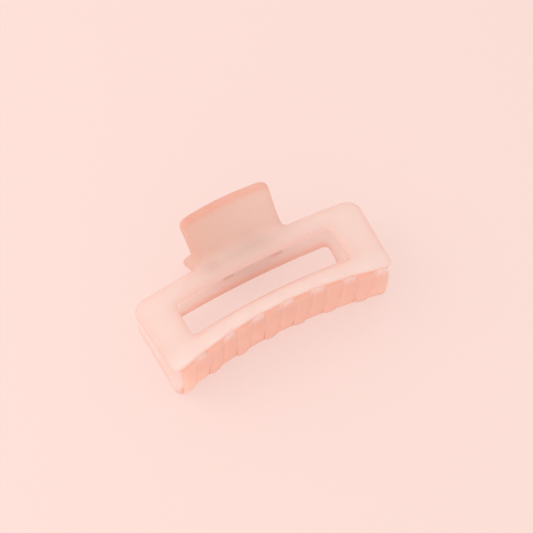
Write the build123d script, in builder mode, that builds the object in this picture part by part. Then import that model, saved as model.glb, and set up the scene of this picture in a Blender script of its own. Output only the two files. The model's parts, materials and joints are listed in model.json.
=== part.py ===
from build123d import *
from math import atan2, cos, degrees, radians, sin
import os

# A large rectangular claw clip: two moulded jaws on a steel pin, closed by a torsion spring.
# It is drawn standing: X along the clip, +Z towards the handles, front jaw towards -Y, and Z = 0
# at the middle of the panels' top edges. At the end it is laid down on its rear jaw.
os.makedirs("parts", exist_ok=True)

# Panel: a sheet that leans out from its top edge down to the crease, bowed along its length.
# The rooms are from the middle of the clip to its inner face.
plate = 2.6
top_length = 105.0
top_room = 2.34
top_depth = top_room + plate
top_depth_rise = 2.98
top_sag = 4.37
crease_length = 99.7
crease_drop = 33.9
crease_room = 15.2
crease_depth = crease_room + plate
crease_depth_fall = 2.2
crease_sag = 6.8
top_corner_radius = 5.5
end_corner_radius = 1.6
crease_radius = 2.0
crease_inner_radius = 1.5

# Window in the panel, measured down the panel from its top edge
top_bar = 11.7
window_length = 72.0
window_height = 18.0
window_top_sag = 1.5
window_bottom_sag = 2.2
window_corner_radius = 1.8
panel_window_reach = 10.0

# Handle: flares out from the top edge and ends in a lip that curls further out
handle_flare = 49.0
handle_length = 18.8
handle_base_width = 40.4
handle_waist_width = 39.8
handle_waist_height = 6.3
handle_tip_width = 41.8
handle_tip_sag = 0.7
handle_fillet = 2.5
handle_bend_radius = 3.0
lip_radius = 4.5
lip_curl = 40.0
lip_corner_radius = 2.2

# Teeth: a comb that turns in from the crease and crosses to the other jaw
teeth = 7
comb_inset = 2.1
tooth_root_width = 6.8
tooth_tip_width = 4.6
tooth_gap = 0.8
tooth_bulge = 2.4
tooth_tip_thickness = 1.8
valley_web = 0.2
valley_inset = plate - valley_web
valley_radius = 3.0
valley_height = 2.6
tooth_tip_radius = 2.0
tip_clearance = 0.4
tip_drop = 0.7

# Hinge: two knuckles on each jaw, a headed pin, and a spring between the inner knuckles
hinge_drop = 4.0
pin_radius = 1.1
running_clearance = 0.05
knuckle_radius = 3.0
knuckle_length = 5.0
knuckle_gap = 0.3
inner_knuckle_start = 6.3
head_radius = 1.9
head_length = 0.8
wire_radius = 0.55
coil_clearance = 0.35
coil_turns = 6
coil_pitch = 1.3
leg_length = 11.0
leg_lean = 40.0

# How far the bent sheet runs past the jaw's ends before it is trimmed, and how far cutters reach
sheet_overrun = 1.0
past = 60.0

half_top = top_length / 2
half_crease = crease_length / 2
comb_half = half_crease - comb_inset
tooth_pitch = 2 * comb_half / teeth
sheet_half = half_top + sheet_overrun


def top_edge(x):
    """The front face's top edge at x, as (depth, height) in the section there."""
    share = (x / half_top) ** 2
    return Vector(-top_depth - top_depth_rise * share, -top_sag * share)


def crease(x):
    """The corner between panel and teeth at x, as (depth, height) in the section there."""
    share = (x / half_crease) ** 2
    return Vector(-crease_depth + crease_depth_fall * share, -crease_drop - crease_sag * share)


def quarter_turn(direction):
    """A direction turned a quarter turn from depth towards height."""
    return Vector(-direction.Y, direction.X)


def inner_corner(corner, direction_in, direction_out, thickness):
    """The point inside a bend that is one sheet thickness from both of its outer faces."""
    normal_in = quarter_turn(direction_in)
    normal_out = quarter_turn(direction_out)
    return corner + (normal_in + normal_out) * (thickness / (1 + normal_in.dot(normal_out)))


def jaw_section(x):
    """The jaw cut across at x: lip, handle, panel and tooth as one bent sheet."""
    top = top_edge(x)
    corner = crease(x)
    down_panel = (corner - top).normalized()
    up_handle = Vector(-sin(radians(handle_flare)), cos(radians(handle_flare)))
    handle_drop = handle_tip_sag * (2 * x / handle_tip_width) ** 2
    lip_start = top + up_handle * (handle_length - handle_drop)
    back = quarter_turn(up_handle) * -plate

    far_crease = Vector(-corner.X, corner.Y)
    far_down = Vector(-down_panel.X, down_panel.Y)
    tip = far_crease - Vector(valley_inset, tip_drop)
    tip_top = tip - far_down * tooth_tip_thickness
    middle = Vector(0, corner.Y - tooth_bulge)
    middle_top = middle + Vector(0, (plate + tooth_tip_thickness) / 2)
    with BuildSketch(Plane.YZ.offset(x)) as section:
        with BuildLine():
            tooth = ThreePointArc(corner, middle, tip)
            inner_top = inner_corner(top, up_handle * -1, down_panel, plate)
            inner_crease = inner_corner(corner, down_panel, tooth % 0, plate)
            Line(tip, tip_top)
            ThreePointArc(tip_top, middle_top, inner_crease)
            Line(inner_crease, inner_top)
            Line(inner_top, lip_start + back)
            lip_back = JernArc(lip_start + back, up_handle, lip_radius + plate, lip_curl)
            lip_face = JernArc(lip_start, up_handle, lip_radius, lip_curl)
            Line(lip_back @ 1, lip_face @ 1)
            Line(lip_start, top)
            Line(top, corner)
        make_face()
        for bend, radius in (
            (top, handle_bend_radius),
            (inner_top, handle_bend_radius + plate),
            (corner, crease_radius),
            (inner_crease, crease_inner_radius),
        ):
            fillet(section.vertices().sort_by_distance(bend)[0], radius)
    return section.sketch


def round_corners(sketch, points, radius):
    """Rounds the sketch's corners that lie at the given points."""
    fillet([sketch.vertices().sort_by_distance(point)[0] for point in points], radius)


def mid_plate(height):
    """Depth of the middle of the front jaw's panel at a height, in the section at X = 0."""
    share = height / crease(0).Y
    return top_edge(0).X * (1 - share) + crease(0).X * share + plate / 2


# What the comb's gaps take away: everything inside the creases that isn't a tooth, up to just
# above the inside of the crease. Each tooth starts square and leans on one side only.
with BuildPart() as comb_gaps:
    with BuildSketch(Plane.XY) as plan:
        with BuildLine():
            side_root = crease(sheet_half).X + valley_inset
            left = (-sheet_half, side_root)
            right = (sheet_half, side_root)
            ThreePointArc(left, (0, crease(0).X + valley_inset), right)
            Polyline(left, (-sheet_half, past), (sheet_half, past), right)
        make_face()
        for tooth in range(teeth):
            start = -comb_half + tooth * tooth_pitch + tooth_gap / 2
            root = crease(start + tooth_root_width / 2).X
            tip = -root - valley_inset - tip_clearance
            with BuildLine():
                Polyline(
                    (start, root),
                    (start, tip),
                    (start + tooth_tip_width, tip),
                    (start + tooth_root_width, root),
                    close=True,
                )
            make_face(mode=Mode.SUBTRACT)
            round_corners(plan, [(start, tip), (start + tooth_tip_width, tip)], tooth_tip_radius)
            inner_root = root + valley_inset
            round_corners(
                plan, [(start, inner_root), (start + tooth_root_width, inner_root)], valley_radius
            )
    extrude(amount=-past)
    with BuildSketch(Plane.XZ):
        with BuildLine():
            side_rise = crease(sheet_half).Y + valley_height
            left = (-sheet_half, side_rise)
            right = (sheet_half, side_rise)
            ThreePointArc(left, (0, crease(0).Y + valley_height), right)
            Polyline(left, (-sheet_half, -past), (sheet_half, -past), right)
        make_face()
    extrude(amount=past, both=True, mode=Mode.INTERSECT)

with BuildPart() as front_jaw:
    # One sheet bent along its whole length, a little longer than the jaw
    loft(sections=[jaw_section(sheet_half * share) for share in (-1, -0.5, 0, 0.5, 1)])

    # Its outline from the front: the panel with its comb, and the handle
    crease_end = crease(half_crease).Y
    base_height = top_edge(handle_base_width / 2).Y
    with BuildSketch(Plane.XZ) as outline:
        with BuildLine():
            ThreePointArc((-half_top, -top_sag), (0, 0), (half_top, -top_sag))
            for side in (-1, 1):
                Polyline(
                    (side * half_top, -top_sag),
                    (side * half_crease, crease_end),
                    (side * comb_half, crease_end),
                    (side * comb_half, crease_end - past),
                )
            Line((-comb_half, crease_end - past), (comb_half, crease_end - past))
        make_face()
        for side in (-1, 1):
            round_corners(outline, [(side * half_top, -top_sag)], top_corner_radius)
            round_corners(outline, [(side * half_crease, crease_end)], end_corner_radius)
        with BuildLine():
            for side in (-0.5, 0.5):
                base = (side * handle_base_width, base_height)
                waist = (side * handle_waist_width, handle_waist_height)
                tip = (side * handle_tip_width, handle_length)
                ThreePointArc(base, waist, tip)
                Line(tip, (0, handle_length))
                Line(base, (0, -top_bar))
        make_face()
        for side in (-0.5, 0.5):
            round_corners(outline, [(side * handle_base_width, base_height)], handle_fillet)
    extrude(amount=past, both=True, mode=Mode.INTERSECT)
    lip_end = front_jaw.faces().sort_by(Axis.Y)[0]
    fillet(lip_end.edges().sort_by(SortBy.LENGTH)[:2], lip_corner_radius)

    # The window, cut square to the panel, with local Y up the panel from the top edge
    down_panel = (crease(0) - top_edge(0)).normalized()
    outward = quarter_turn(down_panel) * -1
    panel_face = Plane(
        origin=(0, top_edge(0).X, top_edge(0).Y),
        x_dir=(1, 0, 0),
        z_dir=(0, outward.X, outward.Y),
    )
    window_bottom = -top_bar - window_height
    window_end = window_length / 2
    with BuildSketch(panel_face) as window:
        with BuildLine():
            top_left = (-window_end, -top_bar - window_top_sag)
            top_right = (window_end, -top_bar - window_top_sag)
            bottom_left = (-window_end, window_bottom - window_bottom_sag)
            bottom_right = (window_end, window_bottom - window_bottom_sag)
            ThreePointArc(top_left, (0, -top_bar), top_right)
            ThreePointArc(bottom_left, (0, window_bottom), bottom_right)
            Line(top_left, bottom_left)
            Line(top_right, bottom_right)
        make_face()
        fillet(window.vertices(), window_corner_radius)
    extrude(amount=panel_window_reach, both=True, mode=Mode.SUBTRACT)

    add(comb_gaps.part, mode=Mode.SUBTRACT)

    # Two knuckles joined to the back of the top bar, bored for the pin
    knuckle_starts = (inner_knuckle_start, -inner_knuckle_start - 2 * knuckle_length - knuckle_gap)
    low = -hinge_drop - knuckle_radius
    high = -hinge_drop + knuckle_radius
    for start in knuckle_starts:
        with BuildSketch(Plane.YZ.offset(start)):
            with Locations((0, -hinge_drop)):
                Circle(knuckle_radius)
            with BuildLine():
                Polyline((0, low), (0, high), (mid_plate(high), high))
                Polyline((0, low), (mid_plate(low), low), (mid_plate(high), high))
            make_face()
        extrude(amount=knuckle_length)
    with BuildSketch(Plane.YZ.offset(-half_top)):
        with Locations((0, -hinge_drop)):
            Circle(pin_radius + running_clearance)
    extrude(amount=top_length, mode=Mode.SUBTRACT)

with BuildPart() as rear_jaw:
    add(front_jaw.part, rotation=(0, 0, 180))

# The pin runs through all four knuckles, with a formed head against each outer one
outer_knuckle_end = inner_knuckle_start + 2 * knuckle_length + knuckle_gap
pin_half = outer_knuckle_end + knuckle_gap / 2
with BuildPart() as hinge_pin:
    with BuildSketch(Plane.YZ.offset(-pin_half)):
        with Locations((0, -hinge_drop)):
            Circle(pin_radius)
    extrude(amount=2 * pin_half)
    for side in (-1, 1):
        with BuildSketch(Plane.YZ.offset(side * pin_half)):
            with Locations((0, -hinge_drop)):
                Circle(head_radius)
        extrude(amount=side * head_length)
    heads = hinge_pin.edges().filter_by(GeomType.CIRCLE).sort_by(Axis.X)
    fillet([heads[0], heads[-1]], head_length / 2)

# The spring: a coil round the pin, turned so that each end leaves along the back of a handle
coil_radius = pin_radius + coil_clearance + wire_radius
coil_length = coil_pitch * (coil_turns + (180 + 2 * leg_lean) / 360)
with BuildPart() as torsion_spring:
    with BuildLine() as wire:
        coil = Helix(
            coil_pitch,
            coil_length,
            coil_radius,
            center=(-coil_length / 2, 0, -hinge_drop),
            direction=(1, 0, 0),
        )
        Line(coil @ 0 - coil % 0 * leg_length, coil @ 0)
        Line(coil @ 1, coil @ 1 + coil % 1 * leg_length)
    with BuildSketch(Plane(origin=wire.line @ 0, z_dir=wire.line % 0)):
        Circle(wire_radius)
    sweep(path=wire.line)
pin_axis = Axis((0, 0, -hinge_drop), (1, 0, 0))
torsion_spring.part = torsion_spring.part.rotate(pin_axis, 90 - leg_lean)

# Laid down on the rear jaw, which touches the surface with its lip and the middle of its crease
flare = radians(handle_flare)
curled = radians(handle_flare + lip_curl)
lip_depth = top_depth + handle_length * sin(flare) + lip_radius * (cos(flare) - cos(curled))
lip_height = handle_length * cos(flare) + lip_radius * (sin(curled) - sin(flare))
tilt = degrees(atan2(lip_depth - crease_depth, lip_height + crease_drop))
lay_down = Location((0, 0, 0), (tilt - 90, 0, 0))
jaws = Compound([lay_down * front_jaw.part, lay_down * rear_jaw.part]).bounding_box()
place = Location((-jaws.center().X, -jaws.center().Y, -jaws.min.Z)) * lay_down

pieces = {
    "front_jaw": front_jaw,
    "rear_jaw": rear_jaw,
    "hinge_pin": hinge_pin,
    "torsion_spring": torsion_spring,
}
for name, piece in pieces.items():
    piece.part.move(place)
    piece.part.label = name
    export_step(piece.part, f"parts/{name}.step")
print("tilt", round(tilt, 3), "pin axis", (place * Pos(0, 0, -hinge_drop)).position)
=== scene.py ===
import json
from math import cos, hypot, pi, radians, sin, tan

import bpy
import numpy as np
from mathutils import Matrix, Vector
from mathutils.geometry import delaunay_2d_cdt


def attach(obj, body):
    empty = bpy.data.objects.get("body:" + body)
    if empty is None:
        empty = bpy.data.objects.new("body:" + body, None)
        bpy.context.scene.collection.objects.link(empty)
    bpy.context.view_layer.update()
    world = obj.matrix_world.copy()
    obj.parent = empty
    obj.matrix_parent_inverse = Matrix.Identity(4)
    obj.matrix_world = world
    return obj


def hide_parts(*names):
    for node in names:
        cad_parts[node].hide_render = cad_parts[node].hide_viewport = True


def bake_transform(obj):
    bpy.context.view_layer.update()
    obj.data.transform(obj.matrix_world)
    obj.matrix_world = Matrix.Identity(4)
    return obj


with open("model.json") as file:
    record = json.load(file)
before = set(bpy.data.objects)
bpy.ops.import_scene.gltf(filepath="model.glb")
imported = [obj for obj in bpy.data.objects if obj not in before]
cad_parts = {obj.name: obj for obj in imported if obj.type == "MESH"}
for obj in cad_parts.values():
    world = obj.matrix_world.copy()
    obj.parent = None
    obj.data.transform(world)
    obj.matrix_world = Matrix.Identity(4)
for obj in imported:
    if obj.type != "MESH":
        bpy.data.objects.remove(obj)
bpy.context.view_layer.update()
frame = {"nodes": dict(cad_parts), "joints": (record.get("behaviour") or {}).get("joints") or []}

# The jaws: one moulding used twice, injected in satin peach polystyrene. Each is one bent sheet that
# turns from thumb handle to panel to teeth, with a window through the panel and its edges rounded.
# Sizes are of a jaw held upright: x along the clip, depth from the hinge line back, and height.
mm = 0.001
plate = 2.6 * mm
top_length = 105 * mm
top_depth = 4.94 * mm
top_depth_rise = 2.98 * mm
top_sag = 4.37 * mm
crease_length = 99.7 * mm
crease_drop = 33.9 * mm
crease_depth = 17.8 * mm
crease_depth_fall = 2.2 * mm
crease_sag = 6.8 * mm

handle_flare = radians(49)
handle_length = 18.8 * mm
handle_base_width = 40.4 * mm
handle_waist_width = 39.8 * mm
handle_waist_share = 0.4
handle_tip_width = 40.7 * mm
handle_tip_sag = 0.2 * mm
handle_dish = 1.9 * mm
lip_radius = 4.5 * mm
lip_curl = radians(40)
lip_length = (lip_radius + plate / 2) * lip_curl

window_length = 72 * mm
window_top = 10.9 * mm
window_top_sag = 1.4 * mm
window_bottom = 27.8 * mm
window_bottom_sag = 2.06 * mm

teeth = 7
comb_inset = 2.1 * mm
tooth_root_width = 7.1 * mm
tooth_tip_width = 5.0 * mm
tooth_gap = 0.9 * mm
tooth_bulge = 2.4 * mm
tooth_tip_thickness = 1.8 * mm
tooth_tip_scarf = 0.8 * mm
tooth_tip_scarf_power = 10
valley_inset = 1.5 * mm
tip_clearance = 0.25 * mm
tip_drop = 1.3 * mm

half_top = top_length / 2
half_crease = crease_length / 2
comb_half = half_crease - comb_inset
tooth_pitch = 2 * comb_half / teeth
panel_height = hypot(crease_depth - top_depth, crease_drop)


def top_edge(x):
    """The outer face's depth and height where handle meets panel, at x."""
    share = (x / half_top) ** 2
    return -top_depth - top_depth_rise * share, -top_sag * share


def crease(x):
    """The outer face's depth and height where panel meets teeth, at x."""
    share = (x / half_crease) ** 2
    return -crease_depth + crease_depth_fall * share, -crease_drop - crease_sag * share


def tooth_points(corner, depth, inside):
    """Depth and height on a tooth, which arches down from its crease to the other jaw's."""
    end = -corner[:, 0] - valley_inset
    from_crease = (depth / corner[:, 0]) ** 2 * tooth_bulge
    from_tip = (depth / end) ** 2 * (tooth_bulge - tip_drop)
    run = np.clip((depth - corner[:, 0]) / (end - corner[:, 0]), 0, 1)
    thickness = plate + (tooth_tip_thickness - plate) * run
    thickness = thickness - tooth_tip_scarf * run**tooth_tip_scarf_power
    height = corner[:, 1] - tooth_bulge + np.where(depth < 0, from_crease, from_tip)
    return np.stack([depth, height + thickness * inside], 1)


def bend(points, v, at, reach, before, corner, after):
    """Rounds the corner that a face turns at v = at, between two points reach before and after."""
    v = v[:, None]
    t = np.clip((at + reach - v) / (2 * reach), 0, 1)
    curve = (1 - t) ** 2 * before + 2 * t * (1 - t) * corner + t**2 * after
    return np.where(np.abs(v - at) < reach, curve, points)


top_bend = 2.1 * mm
top_bend_inside = 1.8 * mm
handle_fillet = 3.4 * mm
handle_fillet_end = 24 * mm
handle_fillet_fade = 8 * mm
crease_bend = 1.5 * mm
crease_bend_inside = 0.1 * mm
crease_turn_share = 0.6
tooth_catch_up = 6 * mm


def face_points(x, v, inside):
    """Points of the jaw's outer (inside = 0) or inner (1) face, as x, depth and height.

    v runs along the sheet from the bend under the handle: up the handle, or down panel and teeth.
    """
    top = np.stack(top_edge(x), 1)
    corner = np.stack(crease(x), 1)
    down = (corner - top) / np.linalg.norm(corner - top, axis=1)[:, None]
    inward = np.stack([-down[:, 1], down[:, 0]], 1)
    up = np.array([-sin(handle_flare), cos(handle_flare)])
    back = np.array([cos(handle_flare), sin(handle_flare)])

    # the handle, dished between its two sides, and the lip that curls over at its end
    across = np.clip(np.abs(2 * x / handle_tip_width), 0, 1)[:, None]
    lip_start = top + back * plate * inside
    lip_start = lip_start + up * (handle_length - handle_tip_sag * across**2)
    lip_start = lip_start + back * handle_dish * (1 - across**2)
    miter = (inward + back) / (1 + inward @ back)[:, None]
    top = top + miter * plate * inside
    handle = top + (lip_start - top) * (v / handle_length)[:, None]
    turn = ((v - handle_length) / lip_length * lip_curl)[:, None]
    lip = lip_start + (lip_radius + plate * inside) * (back * (np.cos(turn) - 1) + up * np.sin(turn))

    # the panel, down to the crease, whose inner corner lies where panel and teeth meet inside
    depth = corner[:, 0] - (v + panel_height)
    corner_inside = corner + inward * plate * inside
    lift = tooth_points(corner, corner_inside[:, 0], inside)[:, 1] - corner_inside[:, 1]
    corner_inside = corner_inside + down * (lift / down[:, 1])[:, None] * inside
    panel = top + (corner_inside - top) * (-v / panel_height)[:, None]

    # the teeth, which start a little late on the inside and catch up along their length
    reach = crease_bend + crease_bend_inside * inside
    tooth_start = corner[:, 0] + reach
    tooth_start = np.maximum(tooth_start, corner_inside[:, 0] + crease_turn_share * reach * inside)
    run = np.clip((-panel_height - reach - v) / tooth_catch_up, 0, 1)
    late = (tooth_start - corner[:, 0] - reach) * (1 - run)
    tooth = tooth_points(corner, depth + late, inside)

    points = np.where((v > handle_length)[:, None], lip, handle)
    points = np.where((v < 0)[:, None], panel, points)
    points = np.where((v < -panel_height)[:, None], tooth, points)
    points = bend(
        points, v, -panel_height, reach,
        corner_inside + (top - corner_inside) * reach / panel_height,
        corner_inside,
        tooth_points(corner, tooth_start, inside),
    )
    near_handle = np.clip((handle_fillet_end - np.abs(x)) / handle_fillet_fade, 0, 1)[:, None]
    near_handle = near_handle**2 * (3 - 2 * near_handle)
    reach = top_bend + top_bend_inside * inside + handle_fillet * near_handle
    points = bend(
        points, v, 0, reach,
        top + (lip_start - top) * reach / handle_length,
        top,
        top + (corner_inside - top) * reach / panel_height,
    )
    return np.column_stack([x, points])


corner_steps = 8
longest_reach = 0.49


def rounded(corners):
    """The closed outline through corners given as (x, v, radius), each rounded off."""
    points = []
    for i, (x, v, radius) in enumerate(corners):
        here = Vector((x, v))
        if radius == 0:
            points.append(here)
            continue
        to_last = Vector(corners[i - 1][:2]) - here
        to_next = Vector(corners[(i + 1) % len(corners)][:2]) - here
        a, b = to_last.normalized(), to_next.normalized()
        half = a.angle(b) / 2
        shorter_side = min(to_last.length, to_next.length)
        reach = min(radius / tan(half), longest_reach * shorter_side)
        centre = here + (a + b).normalized() * (reach / cos(half))
        start = here + a * reach - centre
        turn = start.angle_signed(here + b * reach - centre)
        for step in range(corner_steps + 1):
            points.append(centre + Matrix.Rotation(-turn * step / corner_steps, 2) @ start)
    return points


outline_step = 0.6 * mm


def spaced(points):
    """A closed line through the points, divided into equal steps."""
    p = np.array([tuple(q) for q in points])
    p = np.vstack([p, p[:1]])
    length = np.concatenate([[0], np.cumsum(np.linalg.norm(np.diff(p, axis=0), axis=1))])
    at = np.linspace(0, length[-1], int(length[-1] / outline_step), endpoint=False)
    return np.column_stack([np.interp(at, length, p[:, i]) for i in (0, 1)])


def comb_v(x, depth):
    """How far along the sheet a tooth comes to a depth, at x."""
    return -panel_height - (depth - crease(x)[0])


top_corner_radius = 5.5 * mm
ear_drop = 0.5 * mm
ear_rise = 2.4 * mm
ear_width = 1.5 * mm
ear_spread = 0.2 * mm
ear_radius = 2.2 * mm
ear_end_radius = 1.2 * mm
comb_end_radius = 0.7 * mm
tooth_tip_radius = 2.2 * mm
valley_radius = 2.5 * mm
handle_base_radius = 2.5 * mm
handle_waist_radius = 30 * mm
lip_corner_radius = 3.4 * mm


def jaw_outline():
    """The flat jaw's outline, from its top left corner down and around."""
    ear = -panel_height - ear_drop
    corners = [
        (-half_top, 0, top_corner_radius),
        (-half_crease - ear_spread, ear + ear_rise, ear_radius),
        (-half_crease + ear_width, ear, ear_end_radius),
    ]
    for tooth in range(teeth):
        start = -comb_half + tooth * tooth_pitch + tooth_gap / 2
        root = start + tooth_root_width
        narrow = start + tooth_tip_width
        tip = -crease((start + root) / 2)[0] - valley_inset - tip_clearance
        if tooth == 0:
            corners.append((start, ear, comb_end_radius))
        else:
            corners.append((start, comb_v(start, crease(start)[0] + valley_inset), valley_radius))
        corners.append((start, comb_v(start, tip), tooth_tip_radius))
        corners.append((narrow, comb_v(narrow, tip), tooth_tip_radius))
        corners.append((root, comb_v(root, crease(root)[0] + valley_inset), valley_radius))
    end = handle_length + lip_length
    waist = end * handle_waist_share
    return rounded(corners + [
        (comb_half, -panel_height - valley_inset, comb_end_radius),
        (comb_half, ear, comb_end_radius),
        (half_crease - ear_width, ear, ear_end_radius),
        (half_crease + ear_spread, ear + ear_rise, ear_radius),
        (half_top, 0, top_corner_radius),
        (handle_base_width / 2, 0, handle_base_radius),
        (handle_waist_width / 2, waist, handle_waist_radius),
        (handle_tip_width / 2, end, lip_corner_radius),
        (-handle_tip_width / 2, end, lip_corner_radius),
        (-handle_waist_width / 2, waist, handle_waist_radius),
        (-handle_base_width / 2, 0, handle_base_radius),
    ])


window_corner_radius = 2.3 * mm
window_steps = 12


def window_outline():
    """The window's outline in the flat jaw, the other way round."""
    corners = []
    for height, sag, direction in (
        (-window_top, window_top_sag, 1),
        (-window_bottom, window_bottom_sag, -1),
    ):
        for step in range(window_steps + 1):
            share = direction * (2 * step / window_steps - 1)
            x = share * window_length / 2
            top, low = top_edge(x)[1], crease(x)[1]
            v = -panel_height * (top - (height - sag * share**2)) / (top - low)
            corners.append((x, v, window_corner_radius if abs(share) == 1 else 0))
    return rounded(corners)


edge_rounding = 0.9 * mm
edge_rounding_comb = 0.45 * mm
edge_rounding_lip = 1.2 * mm
edge_comb_start = 1 * mm
edge_comb_fade = 2 * mm
edge_flat = 0.25
edge_steps = 5


def edge_radius(loop):
    """How far in from the outline an edge is rounded: most at the lip, least at the teeth."""
    v = loop[:, 1]
    comb_share = np.clip((edge_comb_start - panel_height - v) / edge_comb_fade, 0, 1)
    lip_share = np.clip((v - handle_length) / lip_length, 0, 1)
    return (
        edge_rounding
        + (edge_rounding_comb - edge_rounding) * comb_share
        + (edge_rounding_lip - edge_rounding) * lip_share
    )


def inset(loop, distance):
    """The loop moved into the material, which lies on its left."""
    along = np.roll(loop, -1, 0) - np.roll(loop, 1, 0)
    along /= np.linalg.norm(along, axis=1)[:, None]
    return loop + np.column_stack([-along[:, 1], along[:, 0]]) * distance[:, None]


def in_material(points, loops):
    """Which points lie inside an odd number of the loops."""
    odd = np.zeros(len(points), bool)
    for loop in loops:
        for (x0, y0), (x1, y1) in zip(loop, np.roll(loop, -1, 0)):
            crosses = (y0 > points[:, 1]) != (y1 > points[:, 1])
            if y1 != y0:
                odd ^= crosses & (points[:, 0] < (x1 - x0) * (points[:, 1] - y0) / (y1 - y0) + x0)
    return odd


def distance_to(points, border):
    """How far each point is from the nearest point of the border."""
    return np.array([np.sqrt(np.min(np.sum((border - p) ** 2, 1))) for p in points])


tooth_reach = 36 * mm
crease_zone = 3 * mm
top_zone = 4 * mm
grid_step = 1.1 * mm
crease_step = 0.35 * mm
top_step = 0.45 * mm
lip_step = 0.4 * mm
grid_rows = (
    (-panel_height - tooth_reach, -panel_height - crease_zone, grid_step),
    (-panel_height - crease_zone, -panel_height + crease_zone, crease_step),
    (-panel_height + crease_zone, -top_zone, grid_step),
    (-top_zone, top_zone, top_step),
    (top_zone, handle_length, grid_step),
    (handle_length, handle_length + lip_length, lip_step),
)
grid_clearance = 0.45 * mm
same_place = 1e-6
smallest_triangle = 0.0001 * mm**2


def flat_triangles(border_loops):
    """Points spread between the loops, and triangles over border and points, numbered in turn."""
    rows = np.concatenate([np.arange(*row) for row in grid_rows])
    grid = np.array([(x, v) for v in rows for x in np.arange(-half_top, half_top, grid_step)])
    border = np.vstack(border_loops)
    grid = grid[in_material(grid, border_loops)]
    grid = grid[distance_to(grid, border) > grid_clearance]
    edges, start = [], 0
    for loop in border_loops:
        n = len(loop)
        edges += [(start + i, start + (i + 1) % n) for i in range(n)]
        start += n
    places = [Vector(p) / mm for p in np.vstack([border, grid])]
    verts, _, faces, origins, _, _ = delaunay_2d_cdt(places, edges, [], 0, same_place)
    corners = np.array([[verts[i] for i in face] for face in faces]) * mm
    a, b = corners[:, 1] - corners[:, 0], corners[:, 2] - corners[:, 0]
    area = np.abs(a[:, 0] * b[:, 1] - a[:, 1] * b[:, 0]) / 2
    kept = in_material(corners.mean(axis=1), border_loops) & (area > smallest_triangle)
    return grid, [[origins[i][0] for i in face] for face, keep in zip(faces, kept) if keep]


# Where the jaw's painted glow, painted highlights and painted shade fall, and how they fade:
comb_tone_start = 0.2 * mm
comb_tone_fade = 1.4 * mm
comb_edge_highlight_fade = 0.9 * mm
root_shade_below_crease = 2 * mm
root_shade_fade = 1.4 * mm
tip_highlight_fade = 3 * mm
handle_shade_start = 5 * mm
handle_shade_fade = 9 * mm
handle_shade_reach = 27 * mm
handle_shade_side_fade = 8 * mm
handle_shade_lean = 60 * mm
hinge_shade_reach = 15 * mm
hinge_shade_drop = 2 * mm
hinge_shade_height = 7 * mm
lip_glow_start = 1 * mm
edge_glow_fade = 1.2 * mm
inner_glow_fade = 4 * mm
low_bar_top = 9 * mm
low_bar_fade = 6 * mm


def jaw_zones(x, v, edge_distance):
    """Where the plastic's tone changes, most of it painted light and shade, as names with a share from
    0 to 1 for each flat point.
    """
    comb = np.clip((-panel_height - comb_tone_start - v) / comb_tone_fade, 0, 1)
    start, end = crease(x)[0], -crease(x)[0] - valley_inset
    tip_highlight_distance = v + panel_height + end - start
    root_shade_distance = v + panel_height + root_shade_below_crease
    handle = np.clip((v + handle_shade_start) / handle_shade_fade, 0, 1)
    handle = handle * np.clip((handle_shade_reach - np.abs(x)) / handle_shade_side_fade, 0, 1)
    hinge_across, hinge_along = x / hinge_shade_reach, (v + hinge_shade_drop) / hinge_shade_height
    edge_painted_glow = np.exp(-edge_distance / edge_glow_fade)
    return {
        # painted glow: the teeth's deeper tone stands in for the warm light that passes through them
        "comb": comb,
        # painted highlight: paler edges on the teeth, for light through their thin rounded rims
        "comb_edge_highlight": comb * np.exp(-edge_distance / comb_edge_highlight_fade),
        # painted shade: a deeper band on the teeth just under the crease, where the panel's edge shades
        # them
        "root": np.exp(-((root_shade_distance / root_shade_fade) ** 2)),
        # painted highlight: pale tooth tips, for their rounded ends catching the light
        "tip": comb * np.exp(-((tip_highlight_distance / tip_highlight_fade) ** 2)),
        # painted shade: a darker handle, darker still towards -x, as if lit from the +x side
        "handle": handle * (1 - x / handle_shade_lean),
        # painted shade: a deeper tone round the hinge, just below the handle's bend
        "hinge": np.exp(-(hinge_across**2) - hinge_along**2),
        # painted glow: the lip's deeper tone, for light through its thin curl
        "lip": np.clip((v - handle_length + lip_glow_start) / lip_length, 0, 1),
        # painted glow: deeper salmon along the rims, for light through the thin edges
        "edge_painted_glow": (1 - comb) * edge_painted_glow,
        # painted light: near-white inner faces, for light glowing through the walls into the clip
        "inner": (1 - edge_painted_glow) * np.clip(1 - v / inner_glow_fade, 0, 1),
        "thick": np.zeros(len(v)),
        "low_bar": np.clip((low_bar_top - panel_height - v) / low_bar_fade, 0, 1) * (1 - comb),
    }


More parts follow.
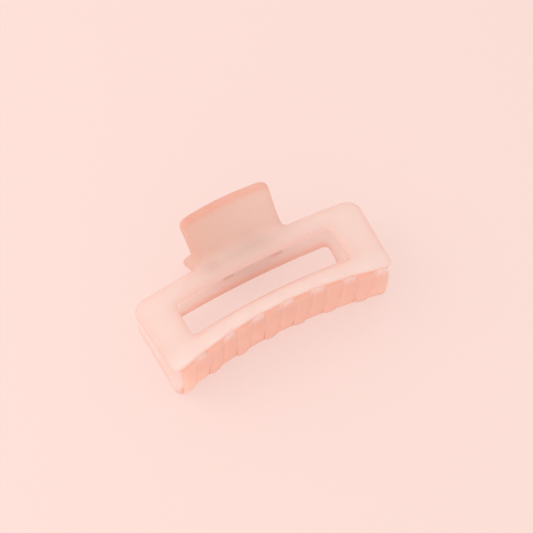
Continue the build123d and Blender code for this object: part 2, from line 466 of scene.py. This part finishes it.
def jaw_mesh():
    """The whole sheet: flat outline, rounded edges, triangles between, and then bent to shape."""
    loops = [spaced(jaw_outline()), spaced(window_outline())]
    flat, share, rings = [], [], []
    for loop in loops:
        steps = []
        for step in range(edge_steps + 1):
            angle = pi / 2 * step / edge_steps
            steps.append(np.arange(len(loop)) + sum(len(points) for points in flat))
            flat.append(inset(loop, edge_radius(loop) * (1 - cos(angle))))
            share.append(np.full(len(loop), edge_flat + (1 - edge_flat) * sin(angle)))
        rings.append(steps)
    points = np.vstack(flat)
    grid, triangles = flat_triangles([points[steps[-1]] for steps in rings])
    numbers = np.concatenate([*[steps[-1] for steps in rings], len(points) + np.arange(len(grid))])
    flat = np.vstack([points, grid])
    share = np.concatenate([*share, np.ones(len(grid))])[:, None]
    outer = face_points(flat[:, 0], flat[:, 1], 0)
    inner = face_points(flat[:, 0], flat[:, 1], 1)
    middle, half = (outer + inner) / 2, (outer - inner) / 2

    count = len(flat)
    faces = []
    for triangle in triangles:
        face = [int(numbers[i]) for i in triangle]
        faces += [face, [i + count for i in reversed(face)]]
    for steps in rings:
        for a, b in zip(steps, steps[1:]):
            for i, j in zip(range(len(a)), np.roll(range(len(a)), -1)):
                faces.append([int(k) for k in (a[i], a[j], b[j], b[i])])
                faces.append([int(k) + count for k in (a[j], a[i], b[i], b[j])])
        rim = [int(k) for k in steps[0]]
        for i, j in zip(rim, rim[1:] + rim[:1]):
            faces.append([i + count, j + count, j, i])
    mesh = bpy.data.meshes.new("jaw")
    mesh.from_pydata(np.vstack([middle + half * share, middle - half * share]).tolist(), [], faces)
    zones = jaw_zones(flat[:, 0], flat[:, 1], distance_to(flat, np.vstack(loops)))
    for name, values in zones.items():
        outside = np.zeros(len(values)) if name == "inner" else values
        data = mesh.attributes.new(name, "FLOAT", "POINT").data
        data.foreach_set("value", np.concatenate([outside, values]).astype(np.float32))
    mesh.validate()
    return mesh


# The knuckles: two barrels moulded onto the back of each panel, with a web running into the sheet.
# Each jaw's inner one starts just past the spring, and its outer one is on the other side of the
# other jaw's inner one, so that they interlock. One bore goes through all four for the pin.
hinge_drop = 4.0 * mm
knuckle_radius = 3 * mm
knuckle_length = 5 * mm
knuckle_gap = 0.3 * mm
inner_knuckle_start = 6.3 * mm
outer_knuckle_start = -inner_knuckle_start - 2 * knuckle_length - knuckle_gap
knuckle_edge = 0.35 * mm
knuckle_edge_lead = 0.1 * mm
knuckle_edge_share = 0.35
knuckle_sides = 24
pin_radius = 1.1 * mm
running_clearance = 0.05 * mm
bore_sides = 48


def lofted(name, rings):
    """A closed mesh through rings of points, capped at both ends."""
    n = len(rings[0])
    faces = [list(range(n))[::-1], [len(rings) * n - n + i for i in range(n)]]
    for ring in range(len(rings) - 1):
        for i in range(n):
            j = (i + 1) % n
            faces.append([ring * n + i, ring * n + j, ring * n + n + j, ring * n + n + i])
    mesh = bpy.data.meshes.new(name)
    mesh.from_pydata([point for ring in rings for point in ring], [], faces)
    return mesh


def knuckle(start):
    """One knuckle, with both ends of its barrel eased, and a web as far as the plate's middle."""
    end = start + knuckle_length
    rings = []
    for x, shrink in (
        (start, knuckle_edge),
        (start + knuckle_edge_lead, knuckle_edge * knuckle_edge_share),
        (start + knuckle_edge, 0),
        (end - knuckle_edge, 0),
        (end - knuckle_edge_lead, knuckle_edge * knuckle_edge_share),
        (end, knuckle_edge),
    ):
        radius = knuckle_radius - shrink
        ring = []
        for height in (-hinge_drop + radius, -hinge_drop - radius):
            share = -height / crease_drop
            ring.append((x, plate / 2 - top_depth * (1 - share) - crease_depth * share, height))
        for step in range(knuckle_sides + 1):
            angle = pi * (step / knuckle_sides - 0.5)
            ring.append((x, radius * cos(angle), radius * sin(angle) - hinge_drop))
        rings.append(ring)
    mesh = lofted("knuckle", rings)
    thick = mesh.attributes.new("thick", "FLOAT", "POINT").data
    thick.foreach_set("value", [1.0] * len(mesh.vertices))
    return mesh


def bore():
    """The rod that the pin's hole is cut with."""
    radius = pin_radius + running_clearance
    angles = [2 * pi * i / bore_sides for i in range(bore_sides)]
    return lofted("bore", [
        [(x, radius * cos(a), radius * sin(a) - hinge_drop) for a in angles]
        for x in (-half_top, half_top)
    ])


def add_piece(name, mesh):
    """A new object that shows the mesh."""
    piece = bpy.data.objects.new(name, mesh)
    bpy.context.scene.collection.objects.link(piece)
    return piece


def combined(mesh, other, operation):
    """The mesh joined with, or cut by, another closed mesh."""
    piece, tool = add_piece("piece", mesh), add_piece("tool", other)
    boolean = piece.modifiers.new("boolean", "BOOLEAN")
    boolean.operation = operation
    boolean.solver = "MANIFOLD"
    boolean.object = tool
    depsgraph = bpy.context.evaluated_depsgraph_get()
    result = bpy.data.meshes.new_from_object(piece.evaluated_get(depsgraph))
    bpy.data.objects.remove(piece)
    bpy.data.objects.remove(tool)
    return result


moulding = jaw_mesh()
for start in (inner_knuckle_start, outer_knuckle_start):
    moulding = combined(moulding, knuckle(start), "UNION")
moulding = combined(moulding, bore(), "DIFFERENCE")


# Satin peach polystyrene, injection moulded: pale, with a soft sheen, and light glows through its
# thin walls. Tones painted on by zone stand in for light and shade: painted glow makes it palest
# inside and deeper at lip, rims and teeth, painted highlights pale the tooth tips and tooth edges, and
# painted shade darkens the handle, a band under the crease and the plastic round the hinge. Flow leaves
# faint clouds about 9 mm wide. The mould's satin grain of about 0.05 mm is drawn at 0.6 mm, so that it
# shows.
cloud_size = 9 * mm
grain_size = 0.6 * mm
grain_depth = 0.05 * mm
scatter_depth = 6 * mm
glow_share = 0.7
glow_lost = (("hinge", 0.15), ("thick", 0.55), ("low_bar", 0.15))


def linear(hex_colour):
    """An sRGB colour such as "#fcdfd7" as the linear values that a shader takes."""
    parts = [int(hex_colour[i : i + 2], 16) / 255 for i in (1, 3, 5)]
    parts = [p / 12.92 if p <= 0.04045 else ((p + 0.055) / 1.055) ** 2.4 for p in parts]
    return (*parts, 1)


def add_node(tree, kind, inputs, **settings):
    """One node: each input, by name or number, takes a value or another node's output."""
    node = tree.nodes.new(kind)
    for name, value in settings.items():
        setattr(node, name, value)
    for name, value in inputs.items():
        if isinstance(value, bpy.types.NodeSocket):
            tree.links.new(value, node.inputs[name])
        else:
            node.inputs[name].default_value = value
    return node


def new_material(name):
    """An empty material, its tree, and each point's place on the object."""
    material = bpy.data.materials.new(name)
    material.use_nodes = True
    tree = material.node_tree
    tree.nodes.clear()
    return material, tree, add_node(tree, "ShaderNodeTexCoord", {}).outputs["Object"]


satin_polystyrene, tree, place = new_material("satin_polystyrene")
clouds = add_node(
    tree, "ShaderNodeTexNoise", {"Vector": place, "Scale": 1 / cloud_size, "Detail": 3.0}
).outputs[0]
grain = add_node(
    tree, "ShaderNodeTexNoise", {"Vector": place, "Scale": 1 / grain_size, "Detail": 2.0}
).outputs[0]
colour = add_node(
    tree, "ShaderNodeMix", {0: clouds, 6: linear("#fbede8"), 7: linear("#fef2ec")}, data_type="RGBA"
).outputs[2]
# Painted light and shade by zone, over the plastic's own clouded colour:
for zone, share, shade in (
    # painted glow: deeper tone on the teeth, for light passing through them
    ("comb", 1.0, "#ffdfd2"),
    # painted highlight: paler tooth edges
    ("comb_edge_highlight", 0.2, "#fff3ee"),
    # painted shade: deeper band under the crease
    ("root", 0.4, "#fbb9a6"),
    # painted highlight: pale tooth tips
    ("tip", 0.85, "#fff6f2"),
    # painted shade: darker handle
    ("handle", 0.43, "#efcfc1"),
    # painted shade: deeper tone round the hinge
    ("hinge", 0.4, "#f5cfc0"),
    ("thick", 0.6, "#f8cfc0"),
    # painted glow: deeper lip
    ("lip", 0.22, "#fbb49e"),
    # painted glow: deeper rims
    ("edge_painted_glow", 0.3, "#f9ad96"),
    # painted light: near-white inner faces
    ("inner", 1.0, "#fff9f6"),
):
    where = add_node(tree, "ShaderNodeAttribute", {}, attribute_name=zone).outputs["Fac"]
    amount = add_node(tree, "ShaderNodeMath", {0: where, 1: share}, operation="MULTIPLY").outputs[0]
    colour = add_node(
        tree, "ShaderNodeMix", {0: amount, 6: colour, 7: linear(shade)}, data_type="RGBA"
    ).outputs[2]
roughness = add_node(
    tree, "ShaderNodeMapRange",
    {"Value": clouds, "From Min": 0.3, "From Max": 0.7, "To Min": 0.34, "To Max": 0.46},
).outputs[0]
normal = add_node(
    tree, "ShaderNodeBump", {"Strength": 0.12, "Distance": grain_depth, "Height": grain}
).outputs[0]
surface = add_node(tree, "ShaderNodeBsdfPrincipled", {
    "Base Color": colour, "Roughness": roughness, "IOR": 1.59, "Normal": normal,
    "Subsurface Weight": 1.0, "Subsurface Scale": scatter_depth, "Subsurface Radius": (1.0, 0.75, 0.65),
}).outputs[0]
glow = add_node(tree, "ShaderNodeBsdfTranslucent", {"Color": colour, "Normal": normal}).outputs[0]
through = glow_share
for zone, share in glow_lost:
    where = add_node(tree, "ShaderNodeAttribute", {}, attribute_name=zone).outputs["Fac"]
    through = add_node(
        tree, "ShaderNodeMath", {0: where, 1: -share, 2: through}, operation="MULTIPLY_ADD"
    ).outputs[0]
mixed = add_node(tree, "ShaderNodeMixShader", {0: through, 1: surface, 2: glow}).outputs[0]
add_node(tree, "ShaderNodeOutputMaterial", {"Surface": mixed})


# The two jaws in place: the closed clip lies on its rear jaw, with the front jaw's panel facing up.
# The rear one is the same moulding turned half a turn, and both hang on the pin's line.
pin_line = Vector(frame["joints"][0]["pos_m"])
resting_tilt = radians(5.073)
sharp_corner = radians(50)
lay_down = (
    Matrix.Translation(pin_line)
    @ Matrix.Rotation(resting_tilt - radians(90), 4, "X")
    @ Matrix.Translation((0, 0, hinge_drop))
)
for body, turn in (("front_jaw", 0), ("rear_jaw", pi)):
    mesh = moulding.copy()
    mesh.transform(lay_down @ Matrix.Rotation(turn, 4, "Z"))
    mesh.shade_smooth()
    mesh.set_sharp_from_angle(angle=sharp_corner)
    mesh.materials.clear()
    mesh.materials.append(satin_polystyrene)
    jaw = add_piece(body + "_moulding", mesh)
    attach(jaw, body)
    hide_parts(body)


# The torsion spring: six and a half turns of round wire wound on the pin between the inner knuckles,
# with a straight leg resting on the back of each handle. It closes the jaws, and each leg follows
# its own jaw while the turns between them wind up.
wire_radius = 0.55 * mm
coil_clearance = 0.35 * mm
coil_radius = pin_radius + coil_clearance + wire_radius
coil_turns = 6.5
coil_pitch = 1.3 * mm
leg_lean = radians(40)
leg_length = 11 * mm
leg_steps = 8
coil_angle = coil_turns * 2 * pi + 2 * leg_lean
coil_length = coil_pitch * coil_angle / (2 * pi)
coil_steps = 160
wire_smoothness = 5

wire = []
for step in range(coil_steps + 1):
    angle = coil_angle * step / coil_steps
    x = -coil_length / 2 + coil_pitch * angle / (2 * pi)
    wire.append(Vector((x, -coil_radius * sin(angle), coil_radius * cos(angle))))
rise = coil_pitch / (2 * pi)
first = Vector((rise, -coil_radius, 0)).normalized()
last = Vector((rise, -coil_radius * cos(coil_angle), -coil_radius * sin(coil_angle))).normalized()
leg = [leg_length * step / leg_steps for step in range(1, leg_steps + 1)]
wire = [wire[0] - first * reach for reach in reversed(leg)] + wire
wire += [wire[-1] + last * reach for reach in leg]

curve = bpy.data.curves.new("wire", "CURVE")
curve.dimensions = "3D"
spline = curve.splines.new("POLY")
spline.points.add(len(wire) - 1)
to_pin = lay_down @ Matrix.Translation((0, 0, -hinge_drop))
for point, spot in zip(spline.points, wire):
    point.co = (*(to_pin @ Matrix.Rotation(radians(90) - leg_lean, 4, "X") @ spot), 1)
curve.bevel_depth = wire_radius
curve.bevel_resolution = wire_smoothness
curve.use_fill_caps = True
drawn_wire = add_piece("wire", curve)
depsgraph = bpy.context.evaluated_depsgraph_get()
spring = add_piece("spring_wire", bpy.data.meshes.new_from_object(drawn_wire.evaluated_get(depsgraph)))
bpy.data.objects.remove(drawn_wire)
spring.data.shade_smooth()
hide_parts("torsion_spring")
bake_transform(spring)

# Bright spring steel, drawn and cold wound: a mid grey metal with a satin gloss, and oil smudges
# under 1 mm wide that break up its highlights.
smudge_size = 0.8 * mm
spring_steel, tree, place = new_material("bright_spring_steel")
smudges = add_node(
    tree, "ShaderNodeTexNoise", {"Vector": place, "Scale": 1 / smudge_size, "Detail": 4.0}
).outputs[0]
colour = add_node(
    tree, "ShaderNodeMix", {0: smudges, 6: linear("#a9a39d"), 7: linear("#c9c4be")}, data_type="RGBA"
).outputs[2]
roughness = add_node(
    tree, "ShaderNodeMapRange", {"Value": smudges, "To Min": 0.2, "To Max": 0.4}
).outputs[0]
surface = add_node(tree, "ShaderNodeBsdfPrincipled", {
    "Base Color": colour, "Metallic": 1.0, "Roughness": roughness,
}).outputs[0]
add_node(tree, "ShaderNodeOutputMaterial", {"Surface": surface})
spring.data.materials.append(spring_steel)


# The hinge pin: a nickel-plated steel rod through all four knuckles and the spring, its ends headed
# over so that it stays in. Drawing it through a die leaves fine scratches along its length, drawn
# 0.3 mm apart so that they show, which stretch each highlight on the warm silver.
scratch_spacing = 0.3 * mm
scratch_depth = 0.02 * mm
scratch_stretch = 0.05
nickel_plate, tree, place = new_material("nickel_plated_steel")
along = add_node(tree, "ShaderNodeMapping", {"Vector": place, "Scale": (scratch_stretch, 1, 1)})
scratches = add_node(
    tree, "ShaderNodeTexNoise",
    {"Vector": along.outputs[0], "Scale": 1 / scratch_spacing, "Detail": 3.0},
).outputs[0]
colour = add_node(
    tree, "ShaderNodeMix", {0: scratches, 6: linear("#beb7b0"), 7: linear("#d6d0ca")}, data_type="RGBA"
).outputs[2]
roughness = add_node(
    tree, "ShaderNodeMapRange", {"Value": scratches, "To Min": 0.18, "To Max": 0.42}
).outputs[0]
normal = add_node(
    tree, "ShaderNodeBump", {"Strength": 0.3, "Distance": scratch_depth, "Height": scratches}
).outputs[0]
surface = add_node(tree, "ShaderNodeBsdfPrincipled", {
    "Base Color": colour, "Metallic": 1.0, "Roughness": roughness, "Normal": normal,
}).outputs[0]
add_node(tree, "ShaderNodeOutputMaterial", {"Surface": surface})
pin = frame["nodes"]["hinge_pin"]
pin.data.materials.clear()
pin.data.materials.append(nickel_plate)


# The floor: a sheet of pale peach card, matt, with a faint mottle of 2 mm fibres. Seen straight on,
# or in gloss or metal, 0.7 of what shows is its own colour however it is lit, and the rest still
# takes the clip's shadow.
fibre_size = 2 * mm
fibre_depth = 0.05 * mm
own_colour_share = 0.7
floor_size = 3
bpy.ops.mesh.primitive_plane_add(size=floor_size)
floor = bpy.context.object
floor.name = "floor"
pale_card, tree, place = new_material("pale_card")
fibres = add_node(
    tree, "ShaderNodeTexNoise", {"Vector": place, "Scale": 1 / fibre_size, "Detail": 3.0}
).outputs[0]
colour = add_node(
    tree, "ShaderNodeMix", {0: fibres, 6: linear("#f9dbd3"), 7: linear("#f9ddd5")}, data_type="RGBA"
).outputs[2]
normal = add_node(
    tree, "ShaderNodeBump", {"Strength": 0.1, "Distance": fibre_depth, "Height": fibres}
).outputs[0]
lit = add_node(tree, "ShaderNodeBsdfDiffuse", {"Color": colour, "Normal": normal}).outputs[0]
plain = add_node(tree, "ShaderNodeEmission", {"Color": colour}).outputs[0]
rays = add_node(tree, "ShaderNodeLightPath", {}).outputs
seen = rays["Is Camera Ray"]
for ray in ("Is Glossy Ray", "Is Transmission Ray"):
    seen = add_node(tree, "ShaderNodeMath", {0: seen, 1: rays[ray]}, operation="MAXIMUM").outputs[0]
share = add_node(tree, "ShaderNodeMath", {0: seen, 1: own_colour_share}, operation="MULTIPLY")
mixed = add_node(tree, "ShaderNodeMixShader", {0: share.outputs[0], 1: lit, 2: plain}).outputs[0]
add_node(tree, "ShaderNodeOutputMaterial", {"Surface": mixed})
floor.data.materials.append(pale_card)


# The light: a white room, with one large softbox up and to the left and a weak one low in front,
# so that the panel is a little brighter than the handle, which also carries painted shade, and the
# shadows are soft.
room_light = 0.92
lamp_aim = Vector((0, 0, 0.02))
world = bpy.data.worlds.new("soft_room")
world.use_nodes = True
background = world.node_tree.nodes["Background"]
background.inputs["Color"].default_value = (1, 1, 1, 1)
background.inputs["Strength"].default_value = room_light
bpy.context.scene.world = world
for name, power, size, stand in (
    ("softbox", 1.8, 0.6, Vector((-0.45, 0.2, 0.55))),
    ("front_fill", 0.4, 0.5, Vector((-0.3, -0.6, 0.2))),
):
    lamp = bpy.data.lights.new(name, "AREA")
    lamp.energy = power
    lamp.size = size
    lamp_object = bpy.data.objects.new(name, lamp)
    bpy.context.scene.collection.objects.link(lamp_object)
    lamp_object.location = stand
    lamp_object.rotation_euler = (lamp_aim - stand).to_track_quat("-Z", "Y").to_euler()


# The camera: a long lens, steeply above the front jaw and turned so that the clip lies aslant.
camera_roll = radians(-28)
camera_height = radians(68.4)
camera_distance = 0.6865
aim_height = -15 * mm
film_width = 36
focal_length = 111.6
frame_shift = (0.0191, 0.0266)
camera = bpy.data.cameras.new("camera")
camera.sensor_width = film_width
camera.lens = focal_length
camera.shift_x, camera.shift_y = frame_shift
camera_object = bpy.data.objects.new("camera", camera)
bpy.context.scene.collection.objects.link(camera_object)
camera_object.matrix_world = (
    Matrix.Translation(lay_down @ Vector((0, 0, aim_height)))
    @ Matrix.Rotation(resting_tilt, 4, "X")
    @ Matrix.Rotation(camera_roll, 4, "Z")
    @ Matrix.Rotation(radians(90) - camera_height, 4, "X")
    @ Matrix.Translation((0, 0, camera_distance))
)
bpy.context.scene.camera = camera_object
bpy.context.scene.view_settings.view_transform = "Standard"
